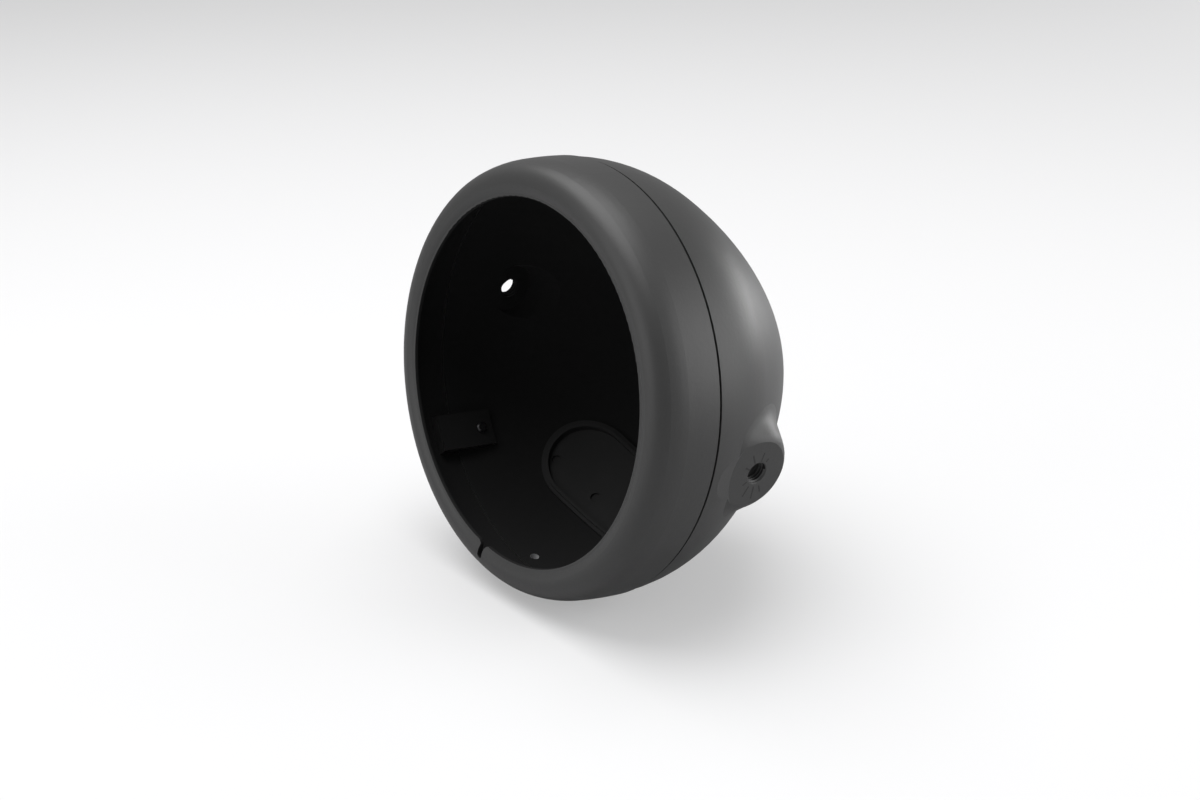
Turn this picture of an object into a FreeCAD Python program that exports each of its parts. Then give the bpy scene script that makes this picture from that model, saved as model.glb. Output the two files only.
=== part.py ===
import FreeCAD, Part
import math
import os
import Sketcher

# Headlight housing: cast bowl, trim ring, two ring screws and a cable grommet.
# Millimetres. The lamp looks along -Y, +X is to the right of someone facing it, +Z is up.
# The origin is where the axis of the two side threads crosses the lamp's centre line.

SIZES = [
    ("lip_radius", "84.0"),             # opening for the lamp
    ("rim_depth", "17.0"),              # from that opening to the outside of the bowl
    ("bowl_wall", "3.0"),
    ("shoulder_radius", "73.0"),        # bowl section: shoulder, flank and rear cap, each tangent to the next
    ("shoulder_angle", "29.5"),
    ("flank_radius", "197.0"),
    ("flank_angle", "46.0"),
    ("pole_flat", "2.0"),               # radius of the small flat at the rear pole
    ("joint_ahead", "30.0"),            # joint face of bowl and ring, ahead of the side threads
    ("register_length", "3.8"),         # front register of the bowl, inside the ring
    ("register_clearance", "0.1"),
    ("joint_groove", "1.3"),            # groove in the bowl that makes the dark joint line
    ("groove_depth", "1.2"),
    ("edge_break", "0.3"),              # broken edge of the ring beside it
    ("ring_step", "0.45"),              # ring stands this much outside the bowl
    ("ring_wall", "2.2"),
    ("side_radius", "159.0"),           # ring section: side, shoulder and nose, each tangent to the next
    ("side_angle", "84.0"),
    ("ring_shoulder_radius", "30.0"),
    ("nose_angle", "68.0"),
    ("nose_radius", "9.9"),
    ("nose_rise", "1.2"),               # nose crest ahead of the lip face
    ("lip_width", "1.4"),               # flat part of the lip
    ("lip_thickness", "1.6"),
    ("lip_edge", "0.5"),                # rounding of the lip's front edge
    ("notch_slit", "3.2"),
    ("notch_flare", "2.8"),
    ("notch_length", "8.0"),
    ("boss_inset", "2.5"),              # flat face of a side boss, inside the widest part of the bowl
    ("boss_facing", "0.5"),             # taken off the casting to make the face flat
    ("boss_top_radius", "13.0"),
    ("boss_blend", "9.0"),              # width of the blend where the boss is flush
    ("boss_sink", "1.0"),               # fall of the blend in front, where the bowl is higher than the boss
    ("blend_share", "0.75"),            # extra blend width for each millimetre it stands out
    ("spot_radius", "24.0"),            # cutter that makes the face and runs out into the bowl in front of it
    ("spot_back", "8.5"),
    ("spot_depth", "4.0"),
    ("spot_slope", "14.0"),
    ("boss_wall", "5.7"),               # metal under the boss face, which carries the thread
    ("dish_radius", "12.0"),            # dish behind the boss
    ("dish_draft", "32.0"),
    ("dish_reach", "30.0"),
    ("thread_radius", "5.0"),           # M10
    ("thread_chamfer", "0.4"),
    ("screw_below", "43.4"),            # ring screws, angle below the horizontal
    ("screw_arc", "8.5"),               # and behind the joint, measured round the shoulder
    ("screw_radius", "2.5"),            # M5 countersunk
    ("screw_head_radius", "4.6"),
    ("screw_head_sink", "0.2"),
    ("screw_length", "8.6"),
    ("screw_tip_chamfer", "0.6"),
    ("screw_clearance", "0.25"),
    ("socket_flats", "3.0"),
    ("socket_depth", "1.5"),
    ("lug_half_angle", "5.5"),
    ("lug_gap", "0.2"),
    ("lug_thickness", "4.6"),
    ("lug_front", "14.7"),              # lug starts this far ahead of the joint face
    ("lug_tail", "5.3"),                # and ends this many degrees behind the screw
    ("drain_radius", "2.15"),
    ("drain_ahead", "26.4"),
    ("opening_tilt", "40.0"),           # cable opening faces down and back
    ("opening_offset", "28.8"),
    ("opening_half_length", "28.5"),    # middle to the centre of an end arc
    ("opening_radius", "21.2"),
    ("grommet_clearance", "0.1"),
    ("grommet_overhang", "1.8"),
    ("grommet_flange", "1.6"),
    ("grommet_bead", "1.1"),
    ("grommet_rim", "1.6"),
    ("membrane_depth", "1.0"),
    ("membrane_thickness", "2.0"),
    ("pierce_radius", "2.6"),           # blind marks where a cable is pushed through
    ("pierce_depth", "1.0"),
    ("pierce_pitch", "14.0"),
    ("pierce_offset", "9.5"),
]

# Sizes that follow from others, widest first.
DERIVED = [
    ("lug_inner_radius", "({bowl_radius} - {bowl_wall} - {lug_gap} - {lug_thickness})"),
    ("boss_half_span", "({bowl_radius} - {boss_inset})"),
    ("bowl_radius", "({lip_radius} + {rim_depth})"),
]

doc = FreeCAD.newDocument("headlight_housing")
sheet = doc.addObject("Spreadsheet::Sheet", "sizes")
for row, (alias, text) in enumerate(SIZES, start=1):
    sheet.set(f"A{row}", alias)
    sheet.set(f"B{row}", text)
    sheet.setAlias(f"B{row}", alias)
doc.recompute()

SPAN = 400.0        # longer than anything here: reach of cutting tools
SEAM_ON_TOP = FreeCAD.Placement(FreeCAD.Vector(), FreeCAD.Rotation(FreeCAD.Vector(0, 1, 0), -90))
PIECES = []


def size(alias):
    return float(sheet.get(alias))


def bound(text):
    """Turns the size names of a formula into references to the sheet."""
    for name, formula in DERIVED:
        text = text.replace("{" + name + "}", formula)
    for alias in sorted((name for name, _ in SIZES), key=len, reverse=True):
        text = text.replace("{" + alias + "}", f"sizes.{alias}")
    return text


def value(text):
    return float(sheet.evalExpression(bound(text)))


def pin(sketch, geo, end, across, up):
    """Fixes a sketch point at two formulas."""
    for kind, formula, axis in (("DistanceX", across, -2), ("DistanceY", up, -1)):
        if formula == "0":
            sketch.addConstraint(Sketcher.Constraint("PointOnObject", geo, end, axis))
            continue
        index = sketch.addConstraint(Sketcher.Constraint(kind, -1, 1, geo, end, value(formula)))
        sketch.setExpression(f"Constraints[{index}]", bound(formula))


def outline(name, points):
    """Closed sketch. A point is (x, y) or (x, y, radius, turn), the arc that leads to the next point."""
    sketch = doc.addObject("Sketcher::SketchObject", name)
    spots = [FreeCAD.Vector(value(p[0]), value(p[1]), 0) for p in points]
    for i, point in enumerate(points):
        start = spots[i]
        end = spots[(i + 1) % len(points)]
        if len(point) == 2:
            sketch.addGeometry(Part.LineSegment(start, end))
            continue
        radius = value(point[2])
        chord = end - start
        side = FreeCAD.Vector(-chord.y, chord.x, 0).normalize()
        reach = math.sqrt(max(radius ** 2 - chord.Length ** 2 / 4, 0.0))
        centre = (start + end) * 0.5 + side * (reach if point[3] == "left" else -reach)
        first, last = (start, end) if point[3] == "left" else (end, start)
        angles = [math.atan2(spot.y - centre.y, spot.x - centre.x) for spot in (first, last)]
        if angles[1] < angles[0]:
            angles[1] += 2 * math.pi
        circle = Part.Circle(centre, FreeCAD.Vector(0, 0, 1), radius)
        sketch.addGeometry(Part.ArcOfCircle(circle, angles[0], angles[1]))
    ends = [(2, 1) if len(p) == 4 and p[3] == "right" else (1, 2) for p in points]
    for i, point in enumerate(points):
        after = (i + 1) % len(points)
        sketch.addConstraint(Sketcher.Constraint("Coincident", i, ends[i][1], after, ends[after][0]))
        pin(sketch, i, ends[i][0], point[0], point[1])
        if len(point) == 4:
            index = sketch.addConstraint(Sketcher.Constraint("Radius", i, value(point[2])))
            sketch.setExpression(f"Constraints[{index}]", bound(point[2]))
    doc.recompute()
    return sketch


def revolved(name, points, angle="360", symmetric=False):
    section = outline(name + "_section", points)
    if angle == "360":
        section.Placement = SEAM_ON_TOP
    solid = doc.addObject("Part::Revolution", name)
    solid.Source = section
    solid.Axis = FreeCAD.Vector(0, 1, 0)
    solid.Base = FreeCAD.Vector(0, 0, 0)
    solid.setExpression("Angle", bound(angle))
    solid.Symmetric = symmetric
    solid.Solid = True
    return solid


def cylinder(name, radius, height, placement):
    solid = doc.addObject("Part::Cylinder", name)
    solid.setExpression("Radius", bound(radius))
    solid.setExpression("Height", bound(height))
    solid.Placement = placement
    return solid


def cone(name, start, end, height, placement):
    solid = doc.addObject("Part::Cone", name)
    solid.setExpression("Radius1", bound(start))
    solid.setExpression("Radius2", bound(end))
    solid.setExpression("Height", bound(height))
    solid.Placement = placement
    return solid


def joined(kind, name, shapes):
    solid = doc.addObject(kind, name)
    solid.Shapes = shapes
    return solid


def less(name, base, tool):
    solid = doc.addObject("Part::Cut", name)
    solid.Base = base
    solid.Tool = tool
    return solid


def piece(node, solid):
    solid.Label = node
    PIECES.append((node, solid))


# Formulas that several pieces share. The bowl section is three tangent arcs.
JOINT = "-{joint_ahead}"
SHOULDER_X = "({bowl_radius} - {shoulder_radius})"
FLANK_X = "({bowl_radius} - {shoulder_radius} - ({flank_radius} - {shoulder_radius}) * cos({shoulder_angle}))"
FLANK_Y = "(-{joint_ahead} - ({flank_radius} - {shoulder_radius}) * sin({shoulder_angle}))"
CAP_RADIUS = f"({{flank_radius}} + {FLANK_X} / cos({{flank_angle}}))"
CAP_Y = f"({FLANK_Y} + ({{flank_radius}} - {CAP_RADIUS}) * sin({{flank_angle}}))"
BOWL_INSIDE = "({bowl_radius} - {bowl_wall})"
RING_RADIUS = "({bowl_radius} + {ring_step})"
RING_INSIDE = f"({RING_RADIUS} - {{ring_wall}})"
REGISTER_RADIUS = f"({RING_INSIDE} - {{register_clearance}})"


def dome(depth):
    """Points from the end of the shoulder to the rear pole, at a depth below the outside."""
    cap = f"({CAP_RADIUS} - ({depth}))"
    pole = f"{CAP_Y} + sqrt({cap} * {cap} - {{pole_flat}} * {{pole_flat}})"
    return [
        (f"{SHOULDER_X} + ({{shoulder_radius}} - ({depth})) * cos({{shoulder_angle}})",
         f"{JOINT} + ({{shoulder_radius}} - ({depth})) * sin({{shoulder_angle}})",
         f"{{flank_radius}} - ({depth})", "left"),
        (f"{FLANK_X} + ({{flank_radius}} - ({depth})) * cos({{flank_angle}})",
         f"{FLANK_Y} + ({{flank_radius}} - ({depth})) * sin({{flank_angle}})",
         cap, "left"),
        ("{pole_flat}", pole),
        ("0", pole),
    ]


def dome_solid(name, depth):
    """Filled dome behind the joint face, at a depth below the outside."""
    front = [
        ("0", JOINT),
        (f"{{bowl_radius}} - ({depth})", JOINT, f"{{shoulder_radius}} - ({depth})", "left"),
    ]
    return revolved(name, front + dome(depth))


# Bowl: filled dome with its register, then the bosses, then everything that is cut out.
register_front = f"{JOINT} - {{register_length}}"
bowl_body = revolved("bowl_body", [
    ("0", register_front),
    (REGISTER_RADIUS, register_front),
    (REGISTER_RADIUS, JOINT),
    ("{bowl_radius} - {groove_depth}", JOINT),
    ("{bowl_radius} - {groove_depth}", f"{JOINT} + {{joint_groove}}"),
    (f"{SHOULDER_X} + sqrt({{shoulder_radius}} * {{shoulder_radius}} - {{joint_groove}} * {{joint_groove}})",
     f"{JOINT} + {{joint_groove}}", "{shoulder_radius}", "left"),
] + dome("0"))


def bowl_radius_at(y):
    """Outside radius of the bowl at a place along its axis."""
    ahead = size("joint_ahead")
    if y < -ahead:
        return value("{bowl_radius}")
    if y < -ahead + size("shoulder_radius") * math.sin(math.radians(size("shoulder_angle"))):
        return value(SHOULDER_X) + math.sqrt(size("shoulder_radius") ** 2 - (y + ahead) ** 2)
    if y < value(FLANK_Y) + size("flank_radius") * math.sin(math.radians(size("flank_angle"))):
        return value(FLANK_X) + math.sqrt(size("flank_radius") ** 2 - (y - value(FLANK_Y)) ** 2)
    return math.sqrt(value(CAP_RADIUS) ** 2 - (y - value(CAP_Y)) ** 2)


# Side bosses: closed rings round the thread axis, from a flat face down through the bowl wall,
# lofted together.
# Each section of the blend leaves the face level and arrives almost along the bowl's own slope.
RING_POINTS = 32
BLEND_STEPS = (0.0, 0.08, 0.18, 0.3, 0.42, 0.55, 0.68, 0.83, 1.0)
START_PULL = 0.42
END_PULL = 0.5
CROSSING = 0.12         # slope at which the blend dips under the bowl's surface
SOFTENING = 1.0         # rounds the change from the bowl's surface to the fall in front
SLOPE_STEP = 0.5        # either side of the blend's end, where its slope is taken
DIVE_WIDTH = 6.0
DIVE_DEPTH = 3.5
ROOT_RADIUS = 24.0
ROOT_DEPTH = 45.0


def blend_section(turn):
    """Points (distance from the thread axis, height) of the boss surface in one direction."""
    face = size("boss_top_radius")
    top = value("{boss_half_span} + {boss_facing}")

    def ground(along):
        height = math.sqrt(bowl_radius_at(along * math.cos(turn)) ** 2 - (along * math.sin(turn)) ** 2)
        limit = top - size("boss_sink")
        return (height + limit - math.hypot(height - limit, SOFTENING)) / 2

    width = size("boss_blend") + size("blend_share") * (top - ground(face))
    end = face + width
    slope = (ground(end + SLOPE_STEP) - ground(end - SLOPE_STEP)) / (2 * SLOPE_STEP) - CROSSING
    lead = ground(end) - slope * END_PULL * width
    bezier = [
        (face, top), (face + START_PULL * width, top), (end - END_PULL * width, lead), (end, ground(end))]
    section = []
    for step in BLEND_STEPS:
        rest = 1.0 - step
        weights = (rest ** 3, 3 * rest ** 2 * step, 3 * rest * step ** 2, step ** 3)
        section.append(tuple(sum(w * p[k] for w, p in zip(weights, bezier)) for k in (0, 1)))
    for share in (0.5, 1.0):
        along = end + share * DIVE_WIDTH
        section.append((along, ground(along) - share * DIVE_DEPTH))
    section.append((ROOT_RADIUS, top - ROOT_DEPTH))
    return section


turns = [2 * math.pi * (i / RING_POINTS + 0.25) for i in range(RING_POINTS)]
sections = [blend_section(turn) for turn in turns]
rings = []
for level in range(len(sections[0])):
    spots = []
    for turn, section in zip(turns, sections):
        along, height = section[level]
        spots.append(FreeCAD.Vector(height, along * math.cos(turn), along * math.sin(turn)))
    curve = Part.BSplineCurve()
    curve.interpolate(Points=spots, PeriodicFlag=True)
    rings.append(Part.Wire([curve.toShape()]))
boss_faces = Part.makeLoft(rings[:-1], False, False).Faces
boss_faces += Part.makeLoft(rings[-2:], False, True).Faces
boss_faces += [Part.Face(rings[0]), Part.Face(rings[-1])]
boss_skin = Part.makeShell(boss_faces)
boss_skin.sewShape()
boss_right = doc.addObject("Part::Feature", "boss_right")
boss_right.Shape = Part.makeSolid(boss_skin)
boss_left = doc.addObject("Part::Mirroring", "boss_left")
boss_left.Source = boss_right
boss_left.Normal = FreeCAD.Vector(1, 0, 0)
bowl_full = joined("Part::MultiFuse", "bowl_full", [bowl_body, boss_right, boss_left])

cavity_front = f"{register_front} - {{register_length}}"
cavity = revolved("cavity", [
    ("0", cavity_front),
    (BOWL_INSIDE, cavity_front),
    (BOWL_INSIDE, JOINT, "{shoulder_radius} - {bowl_wall}", "left"),
] + dome("{bowl_wall}"))
bowl_tools = [cavity]

TO_RIGHT = FreeCAD.Rotation(FreeCAD.Vector(0, 1, 0), 90)
TO_LEFT = FreeCAD.Rotation(FreeCAD.Vector(0, 1, 0), -90)


def side_frame(side, height, back="0"):
    """Frame on the thread axis or behind it, Z outward, at a height above the middle plane."""
    if side == "right":
        return FreeCAD.Placement(FreeCAD.Vector(value(height), value(back), 0), TO_RIGHT)
    return FreeCAD.Placement(FreeCAD.Vector(-value(height), value(back), 0), TO_LEFT)


DISH_FLOOR = "({boss_half_span} - {boss_wall})"
for side in ("right", "left"):
    bowl_tools.append(cone(
        f"dish_{side}", "{dish_radius} + {dish_reach} * tan({dish_draft})", "{dish_radius}", "{dish_reach}",
        side_frame(side, f"{DISH_FLOOR} - {{dish_reach}}")))
    bowl_tools.append(cone(
        f"spot_face_{side}",
        "{spot_radius}", "{spot_radius} + {spot_depth} / tan({spot_slope})", "{spot_depth}",
        side_frame(side, "{boss_half_span}", "{spot_back}")))
bowl = bowl_full
for tool in bowl_tools:
    bowl = less(f"bowl_less_{tool.Name}", bowl, tool)

bowl_holes = []
for side in ("right", "left"):
    bowl_holes.append(cylinder(
        f"thread_{side}", "{thread_radius}", "{boss_half_span}", side_frame(side, "{boss_half_span} / 2")))
    bowl_holes.append(cone(
        f"thread_mouth_{side}",
        "{thread_radius}", "{thread_radius} + 2 * {thread_chamfer}", "2 * {thread_chamfer}",
        side_frame(side, "{boss_half_span} - {thread_chamfer}")))


def screw_frame(turn, depth):
    """Frame on a ring screw's axis, Z outward, at a depth below the outside of the bowl."""
    round_lamp = FreeCAD.Placement(FreeCAD.Vector(), FreeCAD.Rotation(FreeCAD.Vector(0, 1, 0), turn))
    to_shoulder = FreeCAD.Placement(FreeCAD.Vector(value(SHOULDER_X), value(JOINT), 0), FreeCAD.Rotation())
    lean = FreeCAD.Placement(FreeCAD.Vector(), FreeCAD.Rotation(FreeCAD.Vector(0, 0, 1), size("screw_arc")))
    outward = FreeCAD.Placement(FreeCAD.Vector(size("shoulder_radius") - depth, 0, 0), TO_RIGHT)
    return round_lamp * to_shoulder * lean * outward


SCREW_TURNS = {"right": size("screw_below"), "left": 180.0 - size("screw_below")}
HEAD_CONE = "({screw_head_radius} - {screw_radius})"
for side, turn in SCREW_TURNS.items():
    bowl_holes.append(cylinder(
        f"screw_hole_{side}", "{screw_radius} + {screw_clearance}", "2 * {screw_length}",
        screw_frame(turn, size("screw_length"))))
    bowl_holes.append(cone(
        f"screw_seat_{side}", "{screw_radius}", "{screw_head_radius}", HEAD_CONE,
        screw_frame(turn, value(f"{{screw_head_sink}} + {HEAD_CONE}"))))
    bowl_holes.append(cylinder(
        f"screw_recess_{side}", "{screw_head_radius}", "{screw_length}",
        screw_frame(turn, size("screw_head_sink"))))

bowl_holes.append(cylinder(
    "drain", "{drain_radius}", "{bowl_radius}",
    FreeCAD.Placement(
        FreeCAD.Vector(0, -size("drain_ahead"), -value("1.5 * {bowl_radius}")), FreeCAD.Rotation())))

OPENING_TURN = FreeCAD.Rotation(FreeCAD.Vector(1, 0, 0), size("opening_tilt"))


def oval_prism(name, radius):
    """Long oval through the lower rear wall, along the way the cable opening faces."""
    middle = FreeCAD.Vector(0, -size("opening_offset"), 0)
    parts = []
    for side, sign in (("right", 1), ("left", -1)):
        shift = FreeCAD.Vector(sign * size("opening_half_length"), 0, -SPAN)
        spot = OPENING_TURN.multVec(middle + shift)
        parts.append(cylinder(f"{name}_{side}", radius, str(SPAN), FreeCAD.Placement(spot, OPENING_TURN)))
    bar = doc.addObject("Part::Box", f"{name}_bar")
    bar.setExpression("Length", bound("2 * {opening_half_length}"))
    bar.setExpression("Width", bound(f"2 * ({radius})"))
    bar.Height = SPAN
    corner = FreeCAD.Vector(-size("opening_half_length"), -value(radius), -SPAN)
    bar.Placement = FreeCAD.Placement(OPENING_TURN.multVec(middle + corner), OPENING_TURN)
    return joined("Part::MultiFuse", name, parts + [bar])


bowl_holes.append(oval_prism("cable_opening", "{opening_radius}"))
for tool in bowl_holes:
    bowl = less(f"bowl_less_{tool.Name}", bowl, tool)
piece("bowl", bowl)

# Trim ring: one turned section, two lugs that reach back under the register, and the notch in the lip.
SIDE_X = f"({RING_RADIUS} - {{side_radius}})"
RING_SHOULDER_X = f"({SIDE_X} + ({{side_radius}} - {{ring_shoulder_radius}}) * sin({{side_angle}}))"
RING_SHOULDER_Y = f"({JOINT} - ({{side_radius}} - {{ring_shoulder_radius}}) * cos({{side_angle}}))"
NOSE_X = f"({RING_SHOULDER_X} + ({{ring_shoulder_radius}} - {{nose_radius}}) * sin({{nose_angle}}))"
NOSE_Y = f"({RING_SHOULDER_Y} - ({{ring_shoulder_radius}} - {{nose_radius}}) * cos({{nose_angle}}))"
LIP_Y = f"({NOSE_Y} - {{nose_radius}} + {{nose_rise}})"
LIP_BACK = f"({LIP_Y} + {{lip_thickness}})"
LIP_EDGE = "({lip_radius} + {lip_width})"
FLANK_WIDTH = f"({NOSE_X} - {LIP_EDGE})"
INNER_NOSE = "({nose_radius} - {ring_wall})"
NOSE_BACK = "({nose_radius} - {nose_rise} - {lip_thickness})"


def ring_joint(radius, angle, depth, centre):
    """Point where two arcs of the ring section meet, at a depth below the outside."""
    return (f"{centre[0]} + ({{{radius}}} - ({depth})) * sin({{{angle}}})",
            f"{centre[1]} - ({{{radius}}} - ({depth})) * cos({{{angle}}})")


SHOULDER_CENTRE = (RING_SHOULDER_X, RING_SHOULDER_Y)
NOSE_CENTRE = (NOSE_X, NOSE_Y)
ring_body = revolved("ring_body", [
    ("{lip_radius}", f"{LIP_Y} + {{lip_edge}}", "{lip_edge}", "left"),
    ("{lip_radius} + {lip_edge}", LIP_Y),
    (LIP_EDGE, LIP_Y,
     f"({FLANK_WIDTH} * {FLANK_WIDTH} + {{nose_rise}} * {{nose_rise}}) / (2 * {{nose_rise}})", "left"),
    (NOSE_X, f"{NOSE_Y} - {{nose_radius}}", "{nose_radius}", "left"),
    (*ring_joint("nose_radius", "nose_angle", "0", NOSE_CENTRE), "{ring_shoulder_radius}", "left"),
    (*ring_joint("ring_shoulder_radius", "side_angle", "0", SHOULDER_CENTRE), "{side_radius}", "left"),
    (f"{SIDE_X} + sqrt({{side_radius}} * {{side_radius}} - {{edge_break}} * {{edge_break}})",
     f"{JOINT} - {{edge_break}}"),
    (f"{RING_RADIUS} - {{edge_break}}", JOINT),
    (RING_INSIDE, JOINT, "{side_radius} - {ring_wall}", "right"),
    (*ring_joint("ring_shoulder_radius", "side_angle", "{ring_wall}", SHOULDER_CENTRE),
     "{ring_shoulder_radius} - {ring_wall}", "right"),
    (*ring_joint("nose_radius", "nose_angle", "{ring_wall}", NOSE_CENTRE), INNER_NOSE, "right"),
    (f"{NOSE_X} + sqrt({INNER_NOSE} * {INNER_NOSE} - {NOSE_BACK} * {NOSE_BACK})", LIP_BACK),
    ("{lip_radius}", LIP_BACK),
])

RING_MIDDLE = f"({RING_RADIUS} - {{ring_wall}} / 2)"
LUG_OUTER = f"({BOWL_INSIDE} - {{lug_gap}})"
LUG_ARC = "({shoulder_radius} - {bowl_wall} - {lug_gap})"
LUG_END = "({screw_arc} + {lug_tail})"
LUG_FRONT_Y = f"{JOINT} - {{lug_front}}"
LUG_STEP_Y = f"{register_front} - {{lug_gap}}"
LUG_END_Y = f"{JOINT} + {LUG_ARC} * sin({LUG_END})"
ring_parts = [ring_body]
ring_tools = []
for side, turn in SCREW_TURNS.items():
    lug = revolved(f"lug_{side}", [
        ("{lug_inner_radius}", LUG_FRONT_Y),
        (RING_MIDDLE, LUG_FRONT_Y),
        (RING_MIDDLE, LUG_STEP_Y),
        (LUG_OUTER, LUG_STEP_Y),
        (LUG_OUTER, JOINT, LUG_ARC, "left"),
        (f"{SHOULDER_X} + {LUG_ARC} * cos({LUG_END})", LUG_END_Y),
        ("{lug_inner_radius}", LUG_END_Y),
    ], angle="2 * {lug_half_angle}", symmetric=True)
    lug.Placement = FreeCAD.Placement(FreeCAD.Vector(), FreeCAD.Rotation(FreeCAD.Vector(0, 1, 0), turn))
    ring_parts.append(lug)
    ring_tools.append(cylinder(
        f"lug_thread_{side}", "{screw_radius}", "2 * {screw_length}",
        screw_frame(turn, 2 * size("screw_length"))))

HALF_SLIT = "({notch_slit} / 2)"
HALF_MOUTH = f"({HALF_SLIT} + {{notch_flare}})"
SLIT_TOP = "-({lip_radius} + {notch_flare})"
SLIT_END = f"-({{lip_radius}} + {{notch_length}} - {HALF_SLIT})"
notch_section = outline("notch_section", [
    (f"-{HALF_MOUTH}", "-{lip_radius} + {notch_flare}"),
    (f"-{HALF_MOUTH}", "-{lip_radius}", "{notch_flare}", "right"),
    (f"-{HALF_SLIT}", SLIT_TOP),
    (f"-{HALF_SLIT}", SLIT_END, HALF_SLIT, "left"),
    ("0", "-({lip_radius} + {notch_length})", HALF_SLIT, "left"),
    (HALF_SLIT, SLIT_END),
    (HALF_SLIT, SLIT_TOP, "{notch_flare}", "right"),
    (HALF_MOUTH, "-{lip_radius}"),
    (HALF_MOUTH, "-{lip_radius} + {notch_flare}"),
])
notch_section.Placement = FreeCAD.Placement(
    FreeCAD.Vector(0, value(f"{LIP_Y} + {{nose_radius}} / 2"), 0),
    FreeCAD.Rotation(FreeCAD.Vector(1, 0, 0), 90))
notch = doc.addObject("Part::Extrusion", "notch")
notch.Base = notch_section
notch.DirMode = "Normal"
notch.setExpression("LengthFwd", bound("{nose_radius}"))
notch.Solid = True
ring_tools.append(notch)
trim_ring = less(
    "trim_ring",
    joined("Part::MultiFuse", "ring_full", ring_parts),
    joined("Part::MultiFuse", "ring_tools", ring_tools))
piece("trim_ring", trim_ring)

# Ring screws: countersunk socket screws, flush with the bowl.
for side, turn in SCREW_TURNS.items():
    shank = revolved(f"screw_shank_{side}", [
        ("0", "-{screw_length}"),
        ("{screw_radius} - {screw_tip_chamfer}", "-{screw_length}"),
        ("{screw_radius}", "-{screw_length} + {screw_tip_chamfer}"),
        ("{screw_radius}", f"-{HEAD_CONE}"),
        ("{screw_head_radius}", "0"),
        ("0", "0"),
    ])
    socket = doc.addObject("Part::Prism", f"socket_{side}")
    socket.Polygon = 6
    socket.setExpression("Circumradius", bound("{socket_flats} / sqrt(3)"))
    socket.setExpression("Height", bound("2 * {socket_depth}"))
    socket.Placement = FreeCAD.Placement(
        FreeCAD.Vector(0, -size("socket_depth"), 0), FreeCAD.Rotation(FreeCAD.Vector(1, 0, 0), -90))
    screw = less(f"ring_screw_{side}", shank, socket)
    stand_up = FreeCAD.Placement(FreeCAD.Vector(), FreeCAD.Rotation(FreeCAD.Vector(1, 0, 0), 90))
    screw.Placement = screw_frame(turn, size("screw_head_sink")) * stand_up
    piece(f"ring_screw_{side}", screw)


# Cable grommet: flanges on both faces of the bowl wall, a rim through the opening with a bead inside
# the bowl, and a closed membrane with blind marks for the cables.
def shell(name, outer, inner):
    return less(name, dome_solid(f"{name}_outer", outer), dome_solid(f"{name}_inner", inner))


FLANGE_RADIUS = "({opening_radius} + {grommet_overhang})"
CORE_RADIUS = "({opening_radius} - {grommet_clearance})"
HOLLOW_RADIUS = f"({CORE_RADIUS} - {{grommet_rim}})"
FLANGE_DEPTH = "({bowl_wall} + {grommet_flange})"
inner_flange = joined("Part::MultiCommon", "inner_flange", [
    oval_prism("inner_flange_oval", FLANGE_RADIUS), shell("inner_flange_shell", "{bowl_wall}", FLANGE_DEPTH)])
outer_flange = joined("Part::MultiCommon", "outer_flange", [
    oval_prism("outer_flange_oval", FLANGE_RADIUS), shell("outer_flange_shell", "-{grommet_flange}", "0")])
core = joined("Part::MultiCommon", "core", [
    oval_prism("core_oval", CORE_RADIUS),
    shell("core_shell", "-{grommet_flange}", f"{FLANGE_DEPTH} + {{grommet_bead}}")])
rim = less("rim", joined("Part::MultiFuse", "rim_full", [inner_flange, outer_flange, core]),
           oval_prism("hollow_oval", HOLLOW_RADIUS))
membrane = joined("Part::MultiCommon", "membrane", [
    oval_prism("membrane_oval", f"{HOLLOW_RADIUS} + {{grommet_rim}} / 2"),
    shell("membrane_shell", "{membrane_depth}", "{membrane_depth} + {membrane_thickness}")])
marks = []
for index, place in enumerate((-3, -1, 1, 3)):
    spot = FreeCAD.Vector(
        place * size("pierce_pitch"), -size("opening_offset") - size("pierce_offset"), -SPAN)
    marks.append(cylinder(
        f"pierce_{index}", "{pierce_radius}", str(SPAN),
        FreeCAD.Placement(OPENING_TURN.multVec(spot), OPENING_TURN)))
pierced = joined("Part::MultiCommon", "pierced", [
    joined("Part::MultiFuse", "pierce_marks", marks),
    shell("pierce_shell", "{membrane_depth} + {membrane_thickness} - {pierce_depth}",
          "{membrane_depth} + {membrane_thickness}")])
cable_grommet = less("cable_grommet", joined("Part::MultiFuse", "grommet_full", [rim, membrane]), pierced)
piece("cable_grommet", cable_grommet)

doc.recompute()
for item in doc.Objects:
    if "Invalid" in item.State or "Error" in item.State:
        raise RuntimeError(f"{item.Name}: {item.State}")
os.makedirs("parts", exist_ok=True)
for node, solid in PIECES:
    shape = solid.Shape
    if shape.isNull() or not shape.isValid() or len(shape.Solids) != 1:
        raise RuntimeError(f"{node}: {len(shape.Solids)} solids, valid {shape.isValid()}")
    shape.exportStep(f"parts/{node}.step")
    print(node, round(shape.Volume, 1), shape.BoundBox)
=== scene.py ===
import math

import bmesh
import bpy
from mathutils import Matrix


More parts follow.
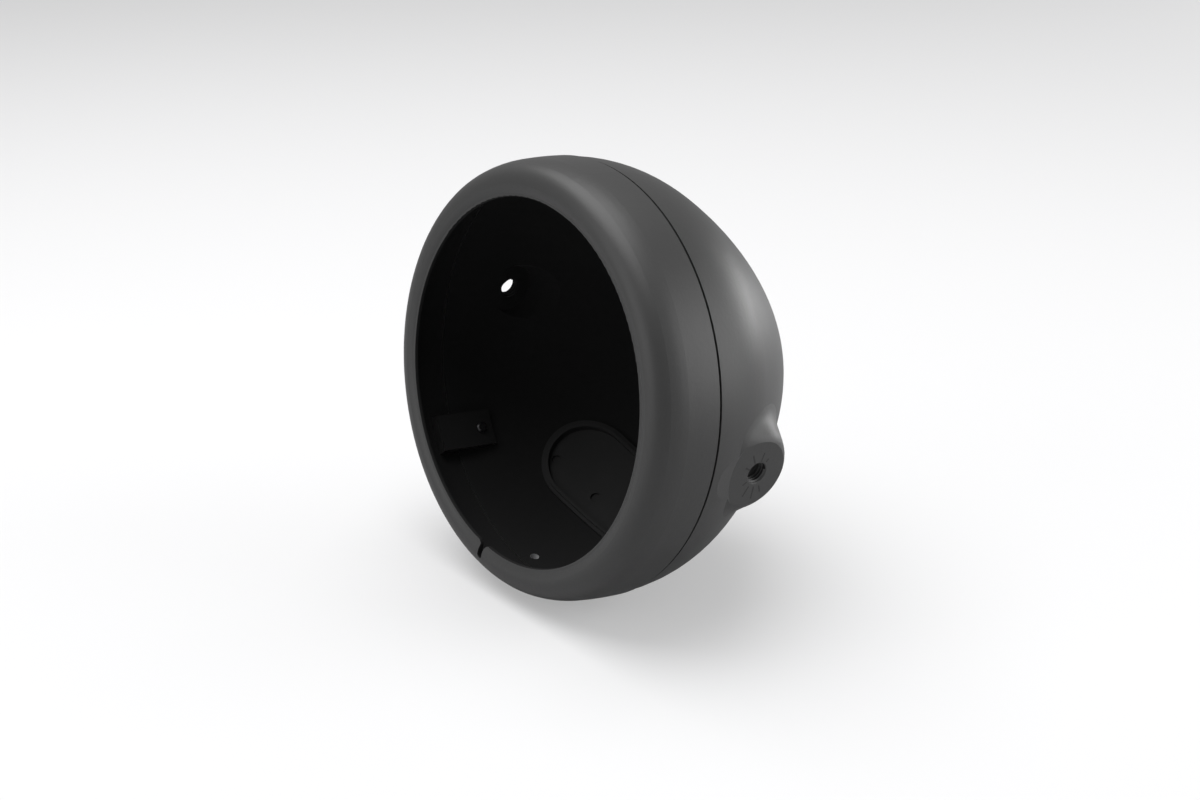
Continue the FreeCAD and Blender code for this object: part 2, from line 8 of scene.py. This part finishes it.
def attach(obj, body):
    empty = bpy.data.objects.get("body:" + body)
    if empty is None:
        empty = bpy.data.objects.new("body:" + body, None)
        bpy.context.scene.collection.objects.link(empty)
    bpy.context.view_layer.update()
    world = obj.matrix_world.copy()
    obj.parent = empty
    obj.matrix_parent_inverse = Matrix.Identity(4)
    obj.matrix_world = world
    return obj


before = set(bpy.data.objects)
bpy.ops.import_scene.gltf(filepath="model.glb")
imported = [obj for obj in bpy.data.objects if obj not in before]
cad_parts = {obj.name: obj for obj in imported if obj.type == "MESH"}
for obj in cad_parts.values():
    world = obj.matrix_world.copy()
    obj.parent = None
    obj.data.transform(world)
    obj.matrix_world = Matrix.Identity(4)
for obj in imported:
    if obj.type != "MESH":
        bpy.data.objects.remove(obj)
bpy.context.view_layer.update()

# Bowl: aluminium casting with a fine matte black powder coat, flatter inside; faces inside the bowl are
# painted near black as painted shade.
# A toothed washer has left short score marks in the coat round the right thread; their near-black colour
# is partly the marks and partly painted shade in their grooves.
# The wall of the drain hole is painted light grey: painted light, where light from the floor below falls
# on it.
COAT_COLOUR = (0.026, 0.026, 0.026, 1.0)
COAT_LIGHT = (0.036, 0.036, 0.036, 1.0)
COAT_ROUGHNESS = 0.46
SHEEN_RANGE = 0.12                  # from the smoothest to the roughest patch
GRAIN_SHARE = 0.6                   # part of the grain in the mix of the two colours
GRAIN_HEIGHT = 0.45                 # height of the grain, where the orange peel is one
COAT_BUMP = 0.00012
COAT_BUMP_STRENGTH = 0.35
INSIDE_SHADE_COLOUR = (0.0028, 0.0028, 0.003, 1.0)
INSIDE_ROUGHER = 0.52
PEEL_SCALE = 520.0                  # orange peel, bumps of about two millimetres
PEEL_DETAIL = 2.0
GRAIN_SCALE = 2600.0                # bumps of about four tenths of a millimetre
GRAIN_DETAIL = 1.0
CLOUD_SCALE = 14.0                  # slow change of sheen over the casting
CLOUD_DETAIL = 3.0
SCORE_SHADE_COLOUR = (0.003, 0.003, 0.003, 1.0)
SCORE_HALF = 0.00042                # half the width of a mark
SCORES = [                          # direction in degrees, 0 to the rear and 90 up; from and to, in metres
    (155, 0.0056, 0.0088), (119, 0.0056, 0.0108), (83, 0.0056, 0.0102), (54, 0.0063, 0.0082),
    (-143, 0.0061, 0.0085), (-115, 0.0068, 0.0122), (-88, 0.0067, 0.0130), (-64, 0.0073, 0.0112),
]
SCORE_FACE = 0.097                  # only on the outside of the right boss
DRAIN_LIGHT_COLOUR = (0.42, 0.42, 0.43, 1.0)
DRAIN_RADIUS = 0.00219              # a little over the hole's own, to take in its wall
DRAIN_AHEAD = 0.0264                # from the axis of the side threads towards the mouth
DRAIN_TOP = -0.09                   # only low down, where the hole is


def look_group(name):
    """Empty node group that gives a colour, a roughness and a height, and its output node."""
    group = bpy.data.node_groups.new(name, "ShaderNodeTree")
    for label, kind in (("Colour", "Color"), ("Roughness", "Float"), ("Height", "Float")):
        group.interface.new_socket(name=label, in_out="OUTPUT", socket_type=f"NodeSocket{kind}")
    return group, group.nodes.new("NodeGroupOutput")


def give(group, out, colour, roughness, height):
    """Links the three results of a look to its output node."""
    for label, socket in (("Colour", colour), ("Roughness", roughness), ("Height", height)):
        group.links.new(socket, out.inputs[label])


def maths(group, operation, *values):
    """Maths node whose inputs are sockets or numbers; returns its output."""
    node = group.nodes.new("ShaderNodeMath")
    node.operation = operation
    for socket, item in zip(node.inputs, values):
        if isinstance(item, (int, float)):
            socket.default_value = item
        else:
            group.links.new(item, socket)
    return node.outputs[0]


def noise(group, scale, detail):
    """Noise in the object's own coordinates; returns its value."""
    place = group.nodes.new("ShaderNodeTexCoord")
    node = group.nodes.new("ShaderNodeTexNoise")
    node.inputs["Scale"].default_value = scale
    node.inputs["Detail"].default_value = detail
    group.links.new(place.outputs["Object"], node.inputs["Vector"])
    return node.outputs[0]


def colour_mix(group, factor, first, second):
    """Colour between two colours, each a socket or four numbers."""
    node = group.nodes.new("ShaderNodeMix")
    node.data_type = "RGBA"
    sockets = {s.identifier: s for s in node.inputs}
    group.links.new(factor, sockets["Factor_Float"])
    for key, item in (("A_Color", first), ("B_Color", second)):
        if isinstance(item, tuple):
            sockets[key].default_value = item
        else:
            group.links.new(item, sockets[key])
    return next(s for s in node.outputs if s.identifier == "Result_Color")


def shader(name, group, bump_distance, bump_strength, metallic=0.0):
    """Material whose colour, roughness and height come from a node group."""
    material = bpy.data.materials.new(name)
    material.use_nodes = True
    tree = material.node_tree
    surface = next(n for n in tree.nodes if n.type == "BSDF_PRINCIPLED")
    look = tree.nodes.new("ShaderNodeGroup")
    look.node_tree = group
    surface.inputs["Metallic"].default_value = metallic
    bump = tree.nodes.new("ShaderNodeBump")
    bump.inputs["Strength"].default_value = bump_strength
    bump.inputs["Distance"].default_value = bump_distance
    tree.links.new(look.outputs["Colour"], surface.inputs["Base Color"])
    tree.links.new(look.outputs["Roughness"], surface.inputs["Roughness"])
    tree.links.new(look.outputs["Height"], bump.inputs["Height"])
    tree.links.new(bump.outputs["Normal"], surface.inputs["Normal"])
    return material


def object_axes(group):
    """The object's own X, Y and Z at the shaded point."""
    place = group.nodes.new("ShaderNodeTexCoord")
    axes = group.nodes.new("ShaderNodeSeparateXYZ")
    group.links.new(place.outputs["Object"], axes.inputs[0])
    return [axes.outputs[letter] for letter in "XYZ"]


def score_mask(group):
    """One where a score mark is, nought elsewhere."""
    x, y, z = object_axes(group)
    mask = None
    for degrees, start, end in SCORES:
        cos = math.cos(math.radians(degrees))
        sin = math.sin(math.radians(degrees))
        along = maths(group, "MULTIPLY_ADD", z, sin, maths(group, "MULTIPLY", y, cos))
        across = maths(group, "MULTIPLY_ADD", z, cos, maths(group, "MULTIPLY", y, -sin))
        near = maths(group, "COMPARE", along, (start + end) / 2, (end - start) / 2)
        line = maths(group, "MULTIPLY", near, maths(group, "COMPARE", across, 0.0, SCORE_HALF))
        mask = line if mask is None else maths(group, "MAXIMUM", mask, line)
    return maths(group, "MULTIPLY", mask, maths(group, "GREATER_THAN", x, SCORE_FACE))


def drain_mask(group):
    """One on the wall of the drain hole."""
    x, y, z = object_axes(group)
    behind = maths(group, "ADD", y, DRAIN_AHEAD)
    square = maths(group, "MULTIPLY_ADD", behind, behind, maths(group, "MULTIPLY", x, x))
    near = maths(group, "LESS_THAN", maths(group, "SQRT", square), DRAIN_RADIUS)
    return maths(group, "MULTIPLY", near, maths(group, "LESS_THAN", z, DRAIN_TOP))


def inside_mask(group):
    """One on faces that look towards the middle of the bowl."""
    place = group.nodes.new("ShaderNodeTexCoord")
    geometry = group.nodes.new("ShaderNodeNewGeometry")
    dot = group.nodes.new("ShaderNodeVectorMath")
    dot.operation = "DOT_PRODUCT"
    group.links.new(place.outputs["Object"], dot.inputs[0])
    group.links.new(geometry.outputs["Normal"], dot.inputs[1])
    return maths(group, "LESS_THAN", dot.outputs["Value"], 0.0)


def coat_group(name, worn_with_painted_light):
    """Powder coat: a fine grain on a soft orange peel, with a slow change of sheen."""
    group, out = look_group(name)
    peel = noise(group, PEEL_SCALE, PEEL_DETAIL)
    grain = noise(group, GRAIN_SCALE, GRAIN_DETAIL)
    cloud = noise(group, CLOUD_SCALE, CLOUD_DETAIL)
    blend = maths(
        group, "MULTIPLY_ADD", grain, GRAIN_SHARE, maths(group, "MULTIPLY", cloud, 1.0 - GRAIN_SHARE))
    colour = colour_mix(group, blend, COAT_COLOUR, COAT_LIGHT)
    # Faces that look into the bowl get a near-black colour: painted shade, since little light reaches them
    # there; they are also rougher.
    inside = inside_mask(group)
    colour = colour_mix(group, inside, colour, INSIDE_SHADE_COLOUR)
    height = maths(group, "MULTIPLY_ADD", grain, GRAIN_HEIGHT, peel)
    roughness = maths(group, "MULTIPLY_ADD", cloud, SHEEN_RANGE, COAT_ROUGHNESS - SHEEN_RANGE / 2)
    if worn_with_painted_light:
        mask = score_mask(group)
        # Score marks: sunk into the coat, and coloured near black as painted shade in their grooves.
        colour = colour_mix(group, mask, colour, SCORE_SHADE_COLOUR)
        height = maths(group, "SUBTRACT", height, mask)
        # Wall of the drain hole painted light grey: painted light from below.
        colour = colour_mix(group, drain_mask(group), colour, DRAIN_LIGHT_COLOUR)
    give(group, out, colour, maths(group, "MULTIPLY_ADD", inside, INSIDE_ROUGHER, roughness), height)
    return group


bowl_coat = shader("bowl_coat", coat_group("worn_coat_with_painted_light", True), COAT_BUMP, COAT_BUMP_STRENGTH)
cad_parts["bowl"].material_slots[0].material = bowl_coat

# Trim ring: aluminium casting in the same powder coat.
# It slides over the register of the bowl and stops at the groove that makes the dark joint line.
ring_coat = shader("ring_coat", coat_group("plain_coat", False), COAT_BUMP, COAT_BUMP_STRENGTH)
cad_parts["trim_ring"].material_slots[0].material = ring_coat

# Ring screws: black steel socket screws, flush with the bowl and threaded into the lugs of the ring.
# The oxide is thin, so the edges of the tips shine.
SCREW_COLOUR = (0.045, 0.045, 0.048, 1.0)
SCREW_WORN = (0.16, 0.16, 0.165, 1.0)
TURNING_SCALE = 1800.0
TURNING_DETAIL = 2.0
SCREW_ROUGHNESS = 0.25              # least, where the oxide is polished
SCREW_ROUGHER = 0.2
SCREW_BUMP = 0.00003
SCREW_BUMP_STRENGTH = 0.2
screw_group, screw_out = look_group("black_oxide")
turning = noise(screw_group, TURNING_SCALE, TURNING_DETAIL)
screw_colour = colour_mix(screw_group, turning, SCREW_COLOUR, SCREW_WORN)
screw_roughness = maths(screw_group, "MULTIPLY_ADD", turning, SCREW_ROUGHER, SCREW_ROUGHNESS)
give(screw_group, screw_out, screw_colour, screw_roughness, turning)
black_oxide = shader("black_oxide", screw_group, SCREW_BUMP, SCREW_BUMP_STRENGTH, metallic=1.0)
for side in ("left", "right"):
    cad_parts[f"ring_screw_{side}"].material_slots[0].material = black_oxide

# Cable grommet: moulded black rubber with a closed membrane, pressed into the oval opening of the bowl.
# Its skin is dull, with a little dust.
RUBBER_COLOUR = (0.005, 0.005, 0.0052, 1.0)
RUBBER_DUST = (0.010, 0.010, 0.0104, 1.0)
SKIN_SCALE = 900.0
SKIN_DETAIL = 3.0
DUST_SCALE = 60.0
DUST_DETAIL = 4.0
RUBBER_ROUGHNESS = 0.72             # least, where there is no dust
RUBBER_ROUGHER = 0.2
RUBBER_BUMP = 0.00005
RUBBER_BUMP_STRENGTH = 0.3
rubber_group, rubber_out = look_group("moulded_rubber")
skin = noise(rubber_group, SKIN_SCALE, SKIN_DETAIL)
dust = noise(rubber_group, DUST_SCALE, DUST_DETAIL)
rubber_colour = colour_mix(rubber_group, dust, RUBBER_COLOUR, RUBBER_DUST)
rubber_roughness = maths(rubber_group, "MULTIPLY_ADD", dust, RUBBER_ROUGHER, RUBBER_ROUGHNESS)
give(rubber_group, rubber_out, rubber_colour, rubber_roughness, skin)
rubber = shader("moulded_rubber", rubber_group, RUBBER_BUMP, RUBBER_BUMP_STRENGTH)
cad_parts["cable_grommet"].material_slots[0].material = rubber

# Side threads: the M10 ridges cut in the two bosses, one helical ridge in each bore.
# The coat covers them too.
THREAD_RADIUS = 0.0050
THREAD_PITCH = 0.0015
THREAD_CREST = 0.00425
ROOT_HALF = 0.00062
CREST_HALF = 0.00012
ROOT_OVERLAP = 0.00003              # the ridge's foot is this far inside the wall
THREAD_INNER = 0.0934               # first and last place of the ridge, from the middle plane
THREAD_OUTER = 0.0976
STEPS_A_TURN = 48
for side in ("right", "left"):
    mesh = bmesh.new()
    foot = THREAD_RADIUS + ROOT_OVERLAP
    profile = [
        (-ROOT_HALF, foot), (-CREST_HALF, THREAD_CREST), (CREST_HALF, THREAD_CREST), (ROOT_HALF, foot)]
    corners = [mesh.verts.new((THREAD_INNER + x, 0.0, r)) for x, r in profile]
    face = mesh.faces.new(corners)
    steps = round((THREAD_OUTER - THREAD_INNER) / THREAD_PITCH * STEPS_A_TURN)
    bmesh.ops.spin(
        mesh, geom=[face] + list(face.edges) + corners, axis=(1, 0, 0), cent=(0, 0, 0),
        dvec=(THREAD_PITCH / STEPS_A_TURN, 0, 0), angle=2 * math.pi * steps / STEPS_A_TURN, steps=steps,
        use_duplicate=False)
    if side == "left":
        bmesh.ops.rotate(mesh, cent=(0, 0, 0), matrix=Matrix.Rotation(math.pi, 3, "Z"), verts=mesh.verts)
    bmesh.ops.recalc_face_normals(mesh, faces=mesh.faces)
    data = bpy.data.meshes.new(f"thread_{side}")
    mesh.to_mesh(data)
    mesh.free()
    thread = bpy.data.objects.new(f"thread_{side}", data)
    bpy.context.scene.collection.objects.link(thread)
    data.materials.append(ring_coat)
    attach(thread, "root")

# Studio: a pale floor under the housing, a pale surround and soft light from four sides.
# The housing leans as in the photograph, so the floor is square to the photograph's upright.
CAMERA_PLACE = (0.5746, -0.54691, 0.3533)
CAMERA_AXES = Matrix((
    (0.591869, -0.460849, 0.661294),
    (0.777382, 0.109567, -0.619413),
    (0.213000, 0.880689, 0.423104)))
CAMERA_LENS = 55.5
CAMERA_SENSOR = 36.0
CAMERA_PITCH = math.radians(22)     # the camera looks down on the floor
FLOOR_GAP = 0.0005
FLOOR_HALF = 3.0
FLOOR_COLOUR = (0.50, 0.50, 0.505, 1.0)
FLOOR_ROUGHNESS = 0.9
FLOOR_LIFT = 0.33                   # the floor is seen this much brighter, and lights nothing with it
SURROUND = (0.86, 0.865, 0.87, 1.0)
WORLD_LIGHT = 0.36

camera_data = bpy.data.cameras.new("camera")
camera_data.lens = CAMERA_LENS
camera_data.sensor_width = CAMERA_SENSOR
camera = bpy.data.objects.new("camera", camera_data)
bpy.context.scene.collection.objects.link(camera)
camera.matrix_world = Matrix.Translation(CAMERA_PLACE) @ CAMERA_AXES.to_4x4()
bpy.context.scene.camera = camera

image_right = CAMERA_AXES.col[0]
upright = math.cos(CAMERA_PITCH) * CAMERA_AXES.col[1] + math.sin(CAMERA_PITCH) * CAMERA_AXES.col[2]
upright.normalize()
to_front = upright.cross(image_right).normalized() * -1.0
lowest = min(upright.dot(v.co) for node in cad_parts.values() for v in node.data.vertices)

floor_mesh = bmesh.new()
bmesh.ops.create_grid(floor_mesh, x_segments=1, y_segments=1, size=FLOOR_HALF)
lay = Matrix((image_right, to_front, upright)).transposed()
bmesh.ops.rotate(floor_mesh, cent=(0, 0, 0), matrix=lay, verts=floor_mesh.verts)
bmesh.ops.translate(floor_mesh, vec=upright * (lowest - FLOOR_GAP), verts=floor_mesh.verts)
floor_data = bpy.data.meshes.new("floor")
floor_mesh.to_mesh(floor_data)
floor_mesh.free()
floor = bpy.data.objects.new("floor", floor_data)
bpy.context.scene.collection.objects.link(floor)
floor_paint = bpy.data.materials.new("floor_paint")
floor_paint.use_nodes = True
floor_surface = next(n for n in floor_paint.node_tree.nodes if n.type == "BSDF_PRINCIPLED")
floor_surface.inputs["Base Color"].default_value = FLOOR_COLOUR
floor_surface.inputs["Roughness"].default_value = FLOOR_ROUGHNESS
floor_surface.inputs["Specular IOR Level"].default_value = 0.0
floor_surface.inputs["Emission Color"].default_value = (1.0, 1.0, 1.0, 1.0)
floor_rays = floor_paint.node_tree.nodes.new("ShaderNodeLightPath")
floor_lift = floor_paint.node_tree.nodes.new("ShaderNodeMath")
floor_lift.operation = "MULTIPLY"
floor_lift.inputs[1].default_value = FLOOR_LIFT
floor_paint.node_tree.links.new(floor_rays.outputs["Is Camera Ray"], floor_lift.inputs[0])
floor_paint.node_tree.links.new(floor_lift.outputs[0], floor_surface.inputs["Emission Strength"])
floor_data.materials.append(floor_paint)

world = bpy.data.worlds.new("surround")
bpy.context.scene.world = world
world.use_nodes = True
sky = world.node_tree
sky_out = next(n for n in sky.nodes if n.type == "OUTPUT_WORLD")
lit = next(n for n in sky.nodes if n.type == "BACKGROUND")
lit.inputs["Color"].default_value = (1.0, 1.0, 1.0, 1.0)
lit.inputs["Strength"].default_value = WORLD_LIGHT
seen = sky.nodes.new("ShaderNodeBackground")
seen.inputs["Color"].default_value = SURROUND
seen.inputs["Strength"].default_value = 1.0
rays = sky.nodes.new("ShaderNodeLightPath")
choose = sky.nodes.new("ShaderNodeMixShader")
sky.links.new(rays.outputs["Is Camera Ray"], choose.inputs["Fac"])
sky.links.new(lit.outputs["Background"], choose.inputs[1])
sky.links.new(seen.outputs["Background"], choose.inputs[2])
sky.links.new(choose.outputs["Shader"], sky_out.inputs["Surface"])

LIGHTS = [                          # name, right, to the camera, up, size, watts
    ("overhead", -0.3, -0.1, 1.35, 1.5, 24.0),
    ("right", 1.4, 0.2, 0.4, 1.1, 11.5),
    ("behind", 1.65, -1.5, -0.02, 0.8, 17.0),
    ("left", -1.2, 0.6, 0.3, 1.0, 4.5),
]
for name, right, front, up, width, watts in LIGHTS:
    lamp = bpy.data.lights.new(name, "AREA")
    lamp.shape = "SQUARE"
    lamp.size = width
    lamp.energy = watts
    light = bpy.data.objects.new(name, lamp)
    bpy.context.scene.collection.objects.link(light)
    light.visible_camera = False
    light.location = image_right * right + to_front * front + upright * up
    light.rotation_mode = "QUATERNION"
    light.rotation_quaternion = (-light.location).to_track_quat("-Z", "Y")

bpy.context.scene.view_settings.view_transform = "Standard"
